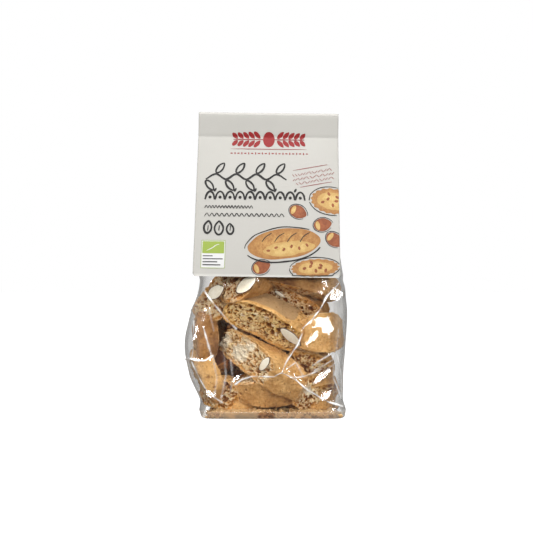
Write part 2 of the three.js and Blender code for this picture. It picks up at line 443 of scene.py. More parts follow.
def makeBakedMaterial():
    material, tree, output = newMaterial("bakedBiscuit")
    cut, recessShadeAndTornEdge, edge, bakeAndLightTone, pale, gold = (
        maskValue(tree, name) for name in ("cut", "recessShadeAndTornEdge", "edge", "bakeAndLightTone", "pale", "gold")
    )
    paleCrumb = driftColour(tree, bake["crumbPale"], bake["crumbPaleLow"], 170.0, 900.0, 0.6)
    goldCrumb = driftColour(tree, bake["crumbGold"], bake["crumbShade"], 150.0, 620.0, 0.65)
    specks = speckMask(tree, 820.0, 0.62, 0.5)
    # Over the crumb: pale spots, painted shade in its fine pores, holes and hollows, and toast by the rim.
    crumb = coated(tree, paleCrumb, (
        (gold, goldCrumb),
        (maths(tree, "MULTIPLY", pale, 0.9), bake["white"]),
        (maths(tree, "MULTIPLY", speckMask(tree, 1500.0, 0.6, 0.5), 0.45), bake["paintedPoreHalfShade"]),
        (maths(tree, "MULTIPLY", specks, rangeOf(tree, pale, 0.0, 1.0, 0.62, 0.08)), bake["paintedPoreShade"]),
        (rangeOf(tree, recessShadeAndTornEdge, 0.05, 0.55, 0.0, 0.75), bake["paintedPoreHalfShade"]),
        (rangeOf(tree, recessShadeAndTornEdge, 0.42, 1.0, 0.0, 0.88), bake["paintedPoreShade"]),
        (rangeOf(tree, edge, 0.2, 1.0, 0.0, 0.7), bake["toast"]),
    ))
    # Scorched patches from noise, more of them where the tone is darker, so painted shade adds to them.
    scorch = maths(tree, "ADD", noiseValue(tree, 60.0), maths(tree, "MULTIPLY", bakeAndLightTone, -0.35))
    crust = driftColour(tree, bake["crustLight"], bake["crustBrown"], 75.0, 520.0, 0.5)
    # Over the crust: pale skin, freckles, painted shade in burst bubbles and along the torn skin edge, and
    # scorched patches.
    crust = coated(tree, crust, (
        (maths(tree, "MULTIPLY", pale, 0.75), bake["crustBeige"]),
        (maths(tree, "MULTIPLY", speckMask(tree, 700.0, 0.5, 0.4), 0.4), bake["crustDark"]),
        (rangeOf(tree, recessShadeAndTornEdge, 0.1, 0.8, 0.0, 0.7), bake["paintedPitShade"]),
        (rangeOf(tree, scorch, 0.58, 1.0), bake["crustDark"]),
    ))

    colour = mixColours(tree, cut, crust, crumb)
    shade = place(tree, "ShaderNodeCombineColor")
    for socket, depth in zip(shade.inputs[:3], (0.42, 0.6, 0.72)):  # darker tones are redder too, of a darker bake and of painted shade alike
        tree.links.new(maths(tree, "ADD", maths(tree, "MULTIPLY", bakeAndLightTone, depth), 1.0), socket)
    colour = mixColours(tree, 1.0, colour, shade.outputs[0], "MULTIPLY")
    roughness = maths(tree, "ADD", maths(tree, "MULTIPLY", cut, 0.25), 0.62)
    holes = maths(tree, "MULTIPLY", maths(tree, "MULTIPLY", specks, -1.4), cut)
    height = maths(tree, "ADD", noiseValue(tree, 1300.0, 4.0, 0.7), holes)
    surface(tree, output, Base_Color=colour, Roughness=roughness, Specular_IOR_Level=0.25,
            Normal=bumpFrom(tree, height, 0.85, 0.0007))
    return material


bakedMaterial = makeBakedMaterial()


# A slice: its middle, its length across the loaf, height and thickness, how slanted the cut is,
# and its turns about y, z and x. gold warms the crumb; tone lightens or darkens the whole, partly as
# another bake and partly as painted light and shade: darker for slices in shade or deep in the pack.
# grade chooses the mesh, flip puts the crown below, round softens the loaf's outline.
# holes and whites are x, z and radius on the near face, of deep pores and of pale flour;
# whiteShare is the strength of the second, paleEnd lightens one end as painted light, beigeTop gives
# the crown a pale skin with a torn edge, and the crust closes over the near face beyond capFrom.
def sliceSpec(name, at, size, slant, turns, gold, bakeAndLightTone=0.0, grade="plain", **extras):
    spec = {
        "name": name, "at": at, "size": size, "slant": slant, "turns": turns,
        "gold": gold, "bakeAndLightTone": bakeAndLightTone, "grade": grade, "flip": 1, "round": False,
        "holes": [], "whites": [], "whiteShare": 1.0, "paleEnd": 0.0, "beigeTop": False, "capFrom": None,
    }
    return {**spec, **extras}


slices = [
    sliceSpec("top_left", (-13.5, -10.5, 95), (46, 32, 17), 0.6, (-50, 0, -40), 0.0, -0.45, "fine", flip=-1,
              holes=[(-2, 0, 2.0)]),
    sliceSpec("upper_left", (-25, 1.5, 84), (58, 26, 15), 0.2, (-50, 0, -22), 0.25, -0.1, flip=-1),
    # top_right is lighter towards its far end: a painted lit end.
    sliceSpec("top_right", (20.5, -9, 91.5), (64, 25, 16), 0, (14, 0, 72), 0.5, -0.55, paleEnd=0.6),
    sliceSpec("upper_right", (21, -2, 75), (50, 22, 15), 0.3, (24, 0, 20), 0.2, -0.5, "fine"),
    sliceSpec("middle", (2, -14.2, 66.2), (60, 25, 18), 0.35, (26, 0, 36), 0.75, 0.12, "fine", beigeTop=True,
              holes=[(-1.2, 12, 2.0), (-12.8, 9.5, 1.8), (4, 1, 1.9), (9, -4, 1.5), (-9, -1, 1.5),
                     (-19, 4, 1.4)],
              whites=[(0.5, 5.5, 2.6), (7, 2, 2.2), (-7, 5, 2.0), (12, -3, 2.0), (-15, -1, 1.8)],
              whiteShare=0.6),
    sliceSpec("right_upper", (35.5, -6, 54.5), (40, 29, 27), 0, (-6, 22, 82), 0.5, round=True),
    sliceSpec("right_middle", (31, -5, 34), (38, 22, 14), 0.3, (20, 12, 14), 0.4, round=True),
    sliceSpec("front_low", (-1.8, -14, 36.3), (57, 23, 16), 1.5, (35, -24, 20), 0.15, -0.12, "fine",
              capFrom=20, holes=[(-22, 4, 2.0)], whites=[(-20.5, -2, 7.5), (-4.5, -2, 7), (0, 6.5, 4.5)]),
    sliceSpec("bottom_front", (3.5, -6.5, 17.2), (54, 25, 19), 0, (-3, 0, 106), 0.5, -0.16, round=True),
    sliceSpec("lower_left", (-41.5, -9, 28), (40, 22, 14), 0, (60, -24, 72), 0.5, -0.05),
    sliceSpec("left_side", (-43, -4, 52), (40, 22, 16), 0, (84, -20, 74), 0.5, -0.6, round=True),
    sliceSpec("right_low", (28.5, -7, 17), (30, 24, 15), 0.2, (-30, 15, 15), 0.2, 0.1, round=True,
              whites=[(-1, 2, 4)]),
    sliceSpec("bottom_left", (-31, -6, 14), (30, 22, 14), 0.3, (14, -10, 10), 0.1, 0.1, round=True,
              whites=[(-4, 2, 7)]),
    sliceSpec("bottom_right", (36, -2, 14.5), (34, 22, 14), 0.3, (-8, 20, 30), 0.4, round=True),
    sliceSpec("floor_left", (-11, 2, 9.4), (46, 26, 13), 0.2, (0, 6, 90), 0.5, grade="coarse"),
    sliceSpec("floor_right", (29, 1, 9.4), (40, 26, 13), -0.2, (0, -8, 90), 0.4, grade="coarse"),
    sliceSpec("inner_left", (-24, 6, 38), (50, 24, 15), 0.3, (-20, 10, 60), 0.5, -0.9, "coarse"),
    sliceSpec("inner_middle", (2, 2, 52), (60, 25, 15), 0.2, (24, 4, 20), 0.5, -0.9, "coarse"),
    sliceSpec("back_low_left", (-18, 17, 18), (48, 24, 15), 0.4, (6, 6, -12), 0.5, grade="coarse"),
    sliceSpec("back_low_right", (25, 17, 20), (46, 25, 15), 0.4, (-14, -8, -10), 0.3, grade="coarse"),
    sliceSpec("back_middle", (-4, 19, 42), (62, 25, 15), 0.5, (-24, 4, -14), 0.7, grade="coarse"),
    sliceSpec("back_right", (31, 15, 55), (56, 24, 15), 0.3, (64, 10, -10), 0.4, -0.1, "coarse"),
    sliceSpec("back_left", (-33, 15, 62), (54, 24, 15), 0.3, (-66, -10, -8), 0.3, grade="coarse"),
    sliceSpec("back_top", (4, 16, 75), (62, 26, 15), 0.4, (20, 0, -12), 0.6, grade="coarse"),
]
sliceForm = {
    "outlinePoints": 80,
    "wall": 0.2,  # upright part of the rim, as a share of the height
    "voxels": {"fine": 0.41, "plain": 0.55, "coarse": 0.87},
    "smoothing": 5,
    "taper": 0.6,  # how much thinner the ends are
    "pores": ((420, 0.4, 0.7), (80, 0.7, 1.1), (9, 1.2, 1.8)),  # how many on a face, and their radii
    "bubbles": 70,  # burst ones on the crust
}


def loafOutline(length, height, seed, rounded):
    angle = np.linspace(0, math.pi, sliceForm["outlinePoints"])
    across, up = np.cos(angle), np.sin(angle)
    wall, heel = (0.36, 0.3) if rounded else (sliceForm["wall"], 0.47)
    x = length / 2 * np.sign(across) * np.abs(across) ** (1.0 if rounded else 0.8)
    z = height * (wall + (1 - wall) * up ** 0.85) - height / 2
    x = np.append(x, (-heel * length, heel * length))
    z = np.append(z, (-height / 2, -height / 2))
    stretch = 1 + 0.045 * planeNoise(x, z, 9, seed)
    return np.stack([x * stretch, z * stretch], 1)


def distanceToOutline(points, outline):
    best = np.full(len(points), 1e9)
    for start, end in zip(outline, np.roll(outline, -1, axis=0)):
        run = end - start
        t = np.clip(((points - start) @ run) / max(run @ run, 1e-9), 0, 1)
        best = np.minimum(best, np.linalg.norm(points - start - t[:, None] * run, axis=1))
    return best


def remeshedSlice(outline, thickness, slant, voxel):
    bm = bmesh.new()
    rings = []
    for y in (-thickness / 2, thickness / 2):
        rings.append([bm.verts.new((x + slant * y, y, z)) for x, z in outline])
    bm.faces.new(rings[0])
    bm.faces.new(rings[1][::-1])
    for i in range(len(outline)):
        j = (i + 1) % len(outline)
        bm.faces.new((rings[0][j], rings[0][i], rings[1][i], rings[1][j]))
    bmesh.ops.recalc_face_normals(bm, faces=bm.faces)
    rough = bpy.data.meshes.new("roughSlice")
    bm.to_mesh(rough)
    bm.free()
    block = bpy.data.objects.new("roughSlice", rough)
    scene.collection.objects.link(block)
    remesh = block.modifiers.new("remesh", "REMESH")
    remesh.mode = "VOXEL"
    remesh.voxel_size = voxel
    rounding = block.modifiers.new("rounding", "SMOOTH")
    rounding.factor = 0.5
    rounding.iterations = sliceForm["smoothing"]
    ready = block.evaluated_get(bpy.context.evaluated_depsgraph_get())
    mesh = bpy.data.meshes.new_from_object(ready)
    bpy.data.objects.remove(block)
    bpy.data.meshes.remove(rough)
    return mesh


# Bowls of a set of holes: the depth below the face at each point.
def holeDepths(points, holes):
    depth = np.zeros(len(points))
    for x, z, radius in holes:
        near = np.flatnonzero((np.abs(points[:, 0] - x) < radius) & (np.abs(points[:, 1] - z) < radius))
        gap = np.hypot(points[near, 0] - x, points[near, 1] - z) / radius
        inside = gap < 1
        near, gap = near[inside], gap[inside]
        depth[near] = np.maximum(depth[near], 1.5 * radius * np.sqrt(1 - gap**2))
    return depth


def turnsOf(spec):
    turns = zip(spec["turns"], "YZX")
    aboutY, aboutZ, aboutX = (Matrix.Rotation(math.radians(turn), 3, axis) for turn, axis in turns)
    return np.array(aboutY @ aboutZ @ aboutX)


def sliceToPack(spec, points):
    return points @ turnsOf(spec).T + np.array(spec["at"])


def scatteredHoles(random, spec, number, low, high):
    x, z = (random.uniform(-reach / 2, reach / 2, number) for reach in spec["size"][:2])
    return list(zip(x, z, random.uniform(low, high, number)))


def makeSlice(index, spec):
    length, height, thickness = spec["size"]
    slant, seed = spec["slant"], 100 + 10 * index
    outline = loafOutline(length, height, seed, spec["round"]) * (1, spec["flip"])
    mesh = remeshedSlice(outline, thickness, slant, sliceForm["voxels"][spec["grade"]])
    points, normals = readVectors(mesh.vertices, "co"), readVectors(mesh.vertex_normals, "vector")
    count = len(points)

    def noise(size, shift):  # at the points as they are when it is called
        return latticeNoise(points, size, seed + shift)

    side = np.sign(points[:, 1])
    flat = np.stack([points[:, 0] - slant * points[:, 1], points[:, 2]], 1)
    toRim = distanceToOutline(flat, outline)
    onFace = smoothStep(thickness / 2 - 1.3, thickness / 2 - 0.5, np.abs(points[:, 1]))
    cut = onFace * smoothStep(0.55, 0.9, np.abs(normals[:, 1]))
    if spec["capFrom"] is not None:
        cap = flat[:, 0] - spec["capFrom"] + 1.5 * noise(4, 16)
        cut *= 1 - smoothStep(0, 1.5, cap) * (side < 0)

    # Holes of the crumb, on both faces, pulled out of round by noise.
    random = np.random.default_rng(seed)
    warped = flat + 0.55 * np.stack([noise(2.2, 1), noise(2.2, 2)], 1)
    depth = np.zeros(count)
    for face in (-1, 1):
        holes = [hole for pores in sliceForm["pores"] for hole in scatteredHoles(random, spec, *pores)]
        chosen = side == face
        depth[chosen] = holeDepths(warped[chosen], holes + (spec["holes"] if face < 0 else []))
    inward = smoothStep(0.3, 1.6, toRim)
    depth *= cut * inward
    outward = np.clip(np.abs(flat[:, 0]) / (length / 2), 0, 1)
    taper = 1 - sliceForm["taper"] * outward ** (2.6 if spec["round"] else 6)
    bend = 1.1 * latticeNoise(points * (1, 0, 1), 26, seed + 14)
    crumbRough = 0.5 * noise(2.0, 3) + 0.45 * noise(1.1, 4)
    # Low places of the rough crumb, used only to darken them: painted shade.
    paintedHollowShade = np.clip(-crumbRough - 0.08, 0, 1) * cut * inward
    crumbRough += 0.6 * noise(5.0, 5)
    across = points[:, 1] * taper + bend + side * cut * (crumbRough - depth)
    points[:, 0] = flat[:, 0] + slant * across
    points[:, 1] = across

    # Crust: slow bumps, fine grain, a few burst bubbles, and a ragged rim by the cut.
    crust = 1 - cut
    bumps = 0.85 * noise(9, 6) + 0.4 * noise(3.2, 7) + 0.2 * noise(1.3, 8)
    rim = smoothStep(thickness / 2 - 3.0, thickness / 2, np.abs(points[:, 1])) * crust
    bumps += rim * 0.75 * noise(1.9, 9)
    burst = np.zeros(count)
    skinPoints = np.flatnonzero(crust > 0.5)
    for centre in skinPoints[random.integers(0, len(skinPoints), sliceForm["bubbles"])]:
        radius = 0.3 + 0.9 * random.random() ** 3
        gap = np.linalg.norm(points - points[centre], axis=1) / radius
        burst = np.maximum(burst, 0.7 * radius * np.sqrt(np.clip(1 - gap**2, 0, 1)))
    burst *= crust
    points += normals * (crust * bumps - burst)[:, None]

    pale, torn = np.zeros(count), np.zeros(count)
    for x, z, radius in spec["whites"]:
        gap = np.hypot(warped[:, 0] - x, warped[:, 1] - z) / radius
        pale = np.maximum(pale, spec["whiteShare"] * (1 - smoothStep(0.6, 1.05, gap)) * (side < 0))
    if spec["beigeTop"]:
        line = 15 + 1.8 * noise(3.0, 11) - flat[:, 0]
        pale = np.maximum(pale, (line > 0) * smoothStep(-6, -4, points[:, 1]) * crust)
        torn = crust * (1 - smoothStep(0.5, 3, np.abs(line + 1))) * smoothStep(0.1, 0.4, noise(1.3, 15))

    edge = cut * (1 - smoothStep(0.4, 5.0, toRim + 2.4 * noise(3.5, 12)))
    points = sliceToPack(spec, points)
    points[:, 2] = np.maximum(points[:, 2], 0.4)
    placed = toFrame(points)
    mesh.vertices.foreach_set("co", placed.astype(np.float32).ravel())
    # pore is painted shade in holes, hollows and burst bubbles, and darkens the torn edge of the pale skin.
    masks = {
        "cut": cut,
        "recessShadeAndTornEdge": np.clip(depth + burst + 0.6 * paintedHollowShade + torn, 0, 1) * (1 - 0.8 * pale * cut),
        "edge": edge,
        "bakeAndLightTone": spec["bakeAndLightTone"] + spec["paleEnd"] * smoothStep(0.2, 0.5, flat[:, 0] / length),
        "pale": pale,
        "gold": np.clip(spec["gold"] + 0.35 * noise(12, 13), 0, 1),
    }
    dressPiece("slice_" + spec["name"], mesh, bakedMaterial, masks)
    return placed / mm - bagMiddle


allSlices = np.concatenate([makeSlice(index, spec) for index, spec in enumerate(slices)])
print("slices made:", len(slices), "with", len(allSlices), "vertices")

# Almonds set into the cut faces, and chips of them.
almonds = [  # slice, place on its near face, half length, half width, turn on the face, point
    ("top_left", -16.9, 5.3, 7.4, 5.6, -26, 0.35),
    ("top_left", 1.2, -11.5, 8.6, 5.2, -18, 0.3),
    ("upper_right", -11.6, 5.4, 4.2, 1.3, -10, 0.2),
    ("middle", 21.2, 1.4, 9.6, 3.9, -19, 0.35),
    ("front_low", 16.8, 3.6, 6.4, 2.7, 82, 0.3),
    ("back_middle", 9.0, 1.0, 7.0, 4.3, 12, 0.35),
    ("back_left", -8.0, 2.0, 6.5, 4.2, -40, 0.35),
    ("back_top", 14.0, 0.0, 7.0, 4.2, 65, 0.35),
    ("back_low_right", -6.0, 1.0, 6.0, 3.9, 30, 0.35),
]
almondForm = {"spokes": 44, "rings": 10, "crown": 0.45, "proud": 0.3, "under": 2.2, "seed": 700}


def almondShape(halfLength, halfWidth, point, seed):
    spokes, rings = almondForm["spokes"], almondForm["rings"]
    points, skin = [], []
    for layer, last in ((1, rings), (-1, rings - 1)):
        for ring in range(1, last + 1):
            share = ring / rings
            for spoke in range(spokes):
                angle = 2 * math.pi * spoke / spokes
                x = math.cos(angle) * halfLength
                pinch = 1 - point * max(0.0, math.cos(angle)) ** 2
                z = math.sin(angle) * halfWidth * pinch
                y = layer * math.sqrt(max(0.0, 1 - share**2))
                points.append((x * share, y, z * share))
                skin.append(share)
    points = np.array(points + [(0, 1, 0), (0, -1, 0)])
    points[:, 1] *= np.where(points[:, 1] > 0, almondForm["crown"], almondForm["under"])
    points[:, [0, 2]] *= (1 + 0.06 * latticeNoise(points, 3.0, seed))[:, None]
    low = rings * spokes
    rim, lastLow = low - spokes, low + (rings - 2) * spokes
    faces = gridFaces(rings, spokes, around=True)
    faces += offsetFaces([face[::-1] for face in gridFaces(rings - 1, spokes, around=True)], low)
    for i in range(spokes):
        j = (i + 1) % spokes
        faces.append((len(points) - 2, j, i))
        faces.append((len(points) - 1, low + i, low + j))
        faces.append((rim + i, rim + j, lastLow + j, lastLow + i))
    return points, faces, np.array(skin + [0.0, 0.0])


def makeAlmonds():
    material = matteMaterial(
        "cutAlmond", ((0.95, 0.89, 0.75), (0.84, 0.75, 0.58)), (190.0, 900.0, 0.35), 0.55, 0.3,
        (700.0, 3.0, 0.35, 0.0004), ("skin", 0.88, 0.95, 1.0, (0.13, 0.06, 0.03)),
    )
    byName = {spec["name"]: spec for spec in slices}
    pile = newPile()
    for number, (name, x, z, halfLength, halfWidth, turn, point) in enumerate(almonds):
        spec = byName[name]
        shape, faces, skin = almondShape(halfLength, halfWidth, point, almondForm["seed"] + number)
        near = 1 if name.startswith("back") else -1
        face = near * (spec["size"][2] / 2 + almondForm["proud"])
        turnedX, turnedZ = turnedBy(shape[:, 0], shape[:, 2], turn)
        local = np.stack([x + turnedX + spec["slant"] * face, face + near * shape[:, 1], z + turnedZ], 1)
        if near < 0:
            faces = [f[::-1] for f in faces]
        addShape(pile, sliceToPack(spec, local), faces, skin)
    addPile("almonds", pile, material, "skin")
    print("almonds made:", len(almonds))


makeAlmonds()

# Loose crumbs at the foot of the bag, on a bed of crumbs too fine to tell apart.
crumbs = {
    "count": 420,
    "left": -40.5,
    "right": 50,
    "front": -26.5,
    "back": 25,
    "bed": 2.6,
    "bedStep": 0.7,
    "radius": (0.35, 1.6),
    "seed": 5,
}


def makeCrumbs():
    material = matteMaterial(
        "looseCrumb", ((0.66, 0.45, 0.21), (0.38, 0.2, 0.08)), (260.0, 900.0, 0.4), 0.85, 0.5,
        (1400.0, 3.0, 0.5, 0.0004),
    )
    left, right, front, back = (crumbs[key] for key in ("left", "right", "front", "back"))
    x, y = np.meshgrid(np.arange(left, right, crumbs["bedStep"]), np.arange(front, back, crumbs["bedStep"]))
    height = crumbs["bed"] + 1.1 * planeNoise(x, y, 5, 910) + 0.7 * planeNoise(x, y, 1.8, 911)
    reachIn = np.minimum.reduce([x - left, right - x, y - front, back - y])
    height = 0.35 + np.maximum(height, 0.4) * smoothStep(-0.3, 4, reachIn)
    lying = np.stack([np.stack([x, y, height], -1), np.stack([x, y, 0 * x + 0.3], -1)]).reshape(-1, 3)
    addPiece("crumb_dust", toFrame(lying), sheetFaces(*x.shape, rimmed=False), material)

    bm = bmesh.new()
    bmesh.ops.create_icosphere(bm, subdivisions=2, radius=1)
    ball = np.array([v.co for v in bm.verts])
    ballFaces = [tuple(v.index for v in f.verts) for f in bm.faces]
    bm.free()
    random = np.random.default_rng(crumbs["seed"])
    pile = newPile()
    for number in range(crumbs["count"]):
        radius = random.uniform(*crumbs["radius"])
        x = random.uniform(left, right)
        y = front + (back - front) * random.random() ** 2.2
        shape = ball * (1 + 0.35 * latticeNoise(ball + number, 0.8, 900)[:, None])
        shape = shape * random.uniform(0.65, 1.2, 3) * radius
        addShape(pile, shape + (x, y, 0.4 + radius * random.uniform(0.8, 2.2)), ballFaces)
    addPile("loose_crumbs", pile, material)
    print("crumbs made:", crumbs["count"])


makeCrumbs()

# The bag's film, laid over the slices.
film = {
    "backColumns": 65,
    "frontColumns": 244,
    "bodyRows": 205,
    "neckRows": 22,
    "gap": 0.25,  # between film and biscuit
    "slack": 2.2,  # how far the film may sink from the solid's form
    "stretch": 3.0,  # and how far a biscuit may push it out
    "rounds": 260,  # of smoothing between the places it touches
    "bandTop": (4.6, 5.2),  # of the folded band round the bottom
    "freeFrom": (5.2, 9),  # heights where the film starts to follow the biscuits
    "freeTo": (96, 112),  # and where it stops, behind the card
    "frontFrom": (-4, -16),  # the creases are on the front
    "crumple": 0.38,
}
# Creases of the stretched film on the front: points in x and z, rise, half width, whitening, which is partly
# the film's own whitening at a crease and partly a painted highlight along it.
creases = [
    ([(-42.6, 85.8), (-38, 79.9), (-24.8, 64.7), (-20.2, 60.7)], 0.55, 2.2, 0.6),
    ([(-38.9, 73.2), (-35.4, 59.4)], 0.3, 1.6, 0.25),
    ([(49.9, 91.1), (40.7, 82.5), (36.7, 74.6), (30.1, 66), (24.1, 62), (24.1, 58), (21.5, 50.8),
      (14.9, 40.9), (10.2, 31.9)], 0.7, 2.4, 0.8),
    ([(10.2, 31.9), (5, 29), (-10.2, 29), (-16.2, 27), (-20.8, 23.7)], 0.8, 2.6, 1.0),
    ([(10.2, 31.9), (18.8, 27.6), (28.1, 19), (41.3, 11.4), (51.9, 7.8)], 0.65, 2.2, 0.85),
    ([(10.2, 31.7), (18.8, 29), (26.1, 29.6), (37.3, 33.6)], 0.4, 1.6, 0.5),
    ([(10.2, 31.9), (19.5, 38.2), (24.1, 30.3)], 0.4, 1.4, 0.4),
    ([(30.7, 36.2), (44, 43.5)], 0.4, 1.3, 0.55),
    ([(32.1, 32.9), (45.9, 39.5)], 0.35, 1.2, 0.45),
    ([(34, 29), (47.3, 36.9)], 0.35, 1.2, 0.35),
    ([(31.4, 25), (42, 32.9)], 0.5, 1.8, 0.8),
    ([(45.3, 41.5), (45.9, 27), (51.9, 13.1)], 0.4, 1.6, 0.4),
    ([(49.5, 60), (48, 45), (52, 30), (53, 14)], 0.4, 1.8, 0.3),
    ([(-50.6, 65.3), (-50, 52), (-51.5, 40.2)], 0.4, 1.6, 0.35),
    ([(-42.6, 60.7), (-36.7, 41.5)], 0.45, 1.6, 0.7),
    ([(-51.9, 40), (-46, 39), (-40.7, 39.6), (-36, 42.5)], 0.5, 1.4, 0.85),
    ([(-51.9, 38.2), (-38.7, 15.7)], 0.45, 1.6, 0.6),
    ([(-39.3, 18.4), (-29.4, 11.8)], 0.5, 1.8, 0.6),
    ([(-36, 42), (-33, 28), (-35, 14)], 0.3, 1.3, 0.3),
    ([(-29, 46), (-27, 30), (-30, 15)], 0.3, 1.2, 0.25),
    ([(-24, 40), (-22.5, 28), (-24.5, 17)], 0.35, 1.3, 0.35),
]


def cadRings(nodeName):
    points = readVectors(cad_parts[nodeName].data.vertices, "co") / mm - bagMiddle
    points = np.unique(np.round(points, 3), axis=0)
    heights = np.unique(np.round(points[:, 2], 2))
    rings = []
    for height in heights:
        ring = points[np.abs(points[:, 2] - height) < 0.02]
        angle = np.mod(np.arctan2(ring[:, 1], ring[:, 0]) + 0.004, 2 * math.pi)
        rings.append(ring[np.argsort(angle)])
    return rings


# Rings of film points, with more of them at the front than the solid has.
def alongRing(rings, steps):
    count = rings.shape[1]
    base = np.floor(steps).astype(int)
    t = (steps - base)[None, :, None]
    return curveBetween(*(rings[:, (base + k) % count] for k in (-1, 0, 1, 2)), t)


def betweenRings(rings, heights, wanted, curvedFrom):
    slopes = np.gradient(rings, heights, axis=0)
    rows = []
    for z in wanted:
        k = min(max(np.searchsorted(heights, z, "right") - 1, 0), len(heights) - 2)
        span = heights[k + 1] - heights[k]
        t = (z - heights[k]) / span
        if z < curvedFrom:
            rows.append(rings[k] * (1 - t) + rings[k + 1] * t)
            continue
        start = rings[k] * (1 + 2 * t) + slopes[k] * span * t
        end = rings[k + 1] * (3 - 2 * t) + slopes[k + 1] * span * (t - 1)
        rows.append(start * (1 - t) ** 2 + end * t**2)
    return np.array(rows)


def gridNormals(grid):
    around = np.roll(grid, -1, axis=1) - np.roll(grid, 1, axis=1)
    up = np.gradient(grid, axis=0)
    normal = np.cross(around, up)
    return normal / np.maximum(np.linalg.norm(normal, axis=2, keepdims=True), 1e-9)


nothingNear = -99.0


# How far the biscuits reach beyond the film's base form, at each of its points.
def reachOfSlices(grid, normals):
    rows, columns = grid.shape[:2]
    reach = np.full((rows, columns), nothingNear)
    heights = grid[:, 0, 2]
    rowOf = np.searchsorted((heights[:-1] + heights[1:]) / 2, allSlices[:, 2])
    angles = np.unwrap(np.arctan2(grid[:, :, 1], grid[:, :, 0]), axis=1)
    for row in range(rows):
        chosen = allSlices[rowOf == row]
        if not len(chosen):
            continue
        first = angles[row, 0]
        angle = np.mod(np.arctan2(chosen[:, 1], chosen[:, 0]) - first, 2 * math.pi) + first
        column = np.round(np.interp(angle, angles[row], np.arange(columns))).astype(int) % columns
        past = chosen - grid[row, column]
        far = np.einsum("ij,ij->i", past, normals[row, column])
        np.maximum.at(reach[row], column, far)
    return reach


def neighbours(field):
    above = np.vstack([field[1:], field[-1:]])
    below = np.vstack([field[:1], field[:-1]])
    return [above, below, np.roll(field, 1, axis=1), np.roll(field, -1, axis=1)]


# How far the film stands off its base form, stretched between the places where a biscuit presses.
def stretchedLift(grid, normals, body):
    reach = reachOfSlices(grid, normals)
    for _ in range(2):  # close the gaps between the slices' own vertices
        reach = np.where(reach == nothingNear, np.maximum.reduce(neighbours(reach)), reach)
    print("slices past the film's form, worst in mm:", round(float(reach.max()), 2))
    floor = np.clip(reach + film["gap"], -film["slack"], film["stretch"]) * body
    lift = np.maximum(floor, 0)
    for _ in range(film["rounds"]):
        lift = np.maximum(sum(neighbours(lift)) / 4 - 0.01 * body, floor)
    return lift


# Ridges along the creases, and how white they are: partly creased film's own whitening, partly painted
# highlight.
def creaseLift(x, z):
    flat = np.stack([x, z], 1)
    lift, white = np.zeros(len(x)), np.zeros(len(x))
    wander = 0.35 * planeNoise(x, z, 3.5, 41)
    strength = 1.1 + 0.6 * planeNoise(x, z, 4.5, 42)
    broad = 0.48 + 0.22 * planeNoise(x, z, 6, 43)
    for path, rise, half, creaseWhiteAndHighlight in creases:
        for start, end in zip(path[:-1], path[1:]):
            start, end = np.array(start), np.array(end)
            run = end - start
            along = ((flat - start) @ run) / (run @ run)
            t = np.clip(along, 0, 1)
            gap = np.abs(np.linalg.norm(flat - start - t[:, None] * run, axis=1) + wander)
            lift = np.maximum(lift, rise * np.maximum(0, 1 - gap / half) ** 1.6)
            white = np.maximum(white, creaseWhiteAndHighlight * np.exp(-((gap / broad) ** 2)) * strength)
    return lift, np.clip(white, 0, 1)


# Flat places of the film that lie square to the halfway line between the camera and a light.
glints = [  # x, z, half length, half width, turn, light
    (38.5, 62.5, 7.5, 5.2, -35, "rightPanel"),
    (30.5, 54.5, 6.0, 2.2, 48, "rightPanel"),
    (46.2, 82.8, 4.2, 3.6, 60, "rightPanel"),
    (37.0, 28.8, 7.0, 1.9, 36, "rightPanel"),
    (39.0, 15.5, 4.5, 2.0, 40, "rightPanel"),
    (-20.3, 27.6, 3.4, 1.7, 35, "leftPanel"),
    (-34.0, 15.0, 5.5, 2.0, -32, "leftPanel"),
    (-46.5, 39.6, 5.0, 1.1, 4, "leftPanel"),
    (-37.2, 41.0, 2.2, 1.4, 60, "leftPanel"),
    (-47.5, 56.0, 5.5, 1.3, 80, "leftPanel"),
]


glintForm = {
    "edge": 1.45,  # where a flat place has died out, in its own half widths
    "core": 0.6,
    "sunk": 12,  # percent of its core that may lie below the film
    "deepest": -2.4,
    "highest": 2.8,
}


def lightPlace(name):
    return np.array(bpy.data.objects[name].location) / mm - bagMiddle


def glintLift(grid, normals):
    x, z = grid[:, :, 0], grid[:, :, 2]
    lift, calm = np.zeros(x.shape), np.zeros(x.shape)
    eye = np.array((0, -view["distance"], view["height"]))
    ragged = 1 + 0.3 * planeNoise(x, z, 3.2, 71)
    for middleX, middleZ, long, wide, turn, lamp in glints:
        along, aside = turnedBy(x - middleX, z - middleZ, -turn)
        far = np.sqrt((along / long) ** 2 + (aside / wide) ** 2) * ragged
        window = (1 - smoothStep(1.0, glintForm["edge"], far)) * (grid[:, :, 1] < 0)
        core = window > glintForm["core"]
        if not core.any():
            continue
        here = grid[core].mean(0)
        toEye, toLamp = eye - here, lightPlace(lamp) - here
        square = toEye / np.linalg.norm(toEye) + toLamp / np.linalg.norm(toLamp)
        square /= np.linalg.norm(square)
        reachPlane = ((here - grid) @ square) / np.maximum(normals @ square, 0.3)
        reachPlane = reachPlane - min(0.0, np.percentile(reachPlane[core], glintForm["sunk"]))
        reachPlane = np.clip(reachPlane, glintForm["deepest"], glintForm["highest"])
        lift = lift * (1 - window) + reachPlane * window
        calm = np.maximum(calm, window)
    return lift, calm


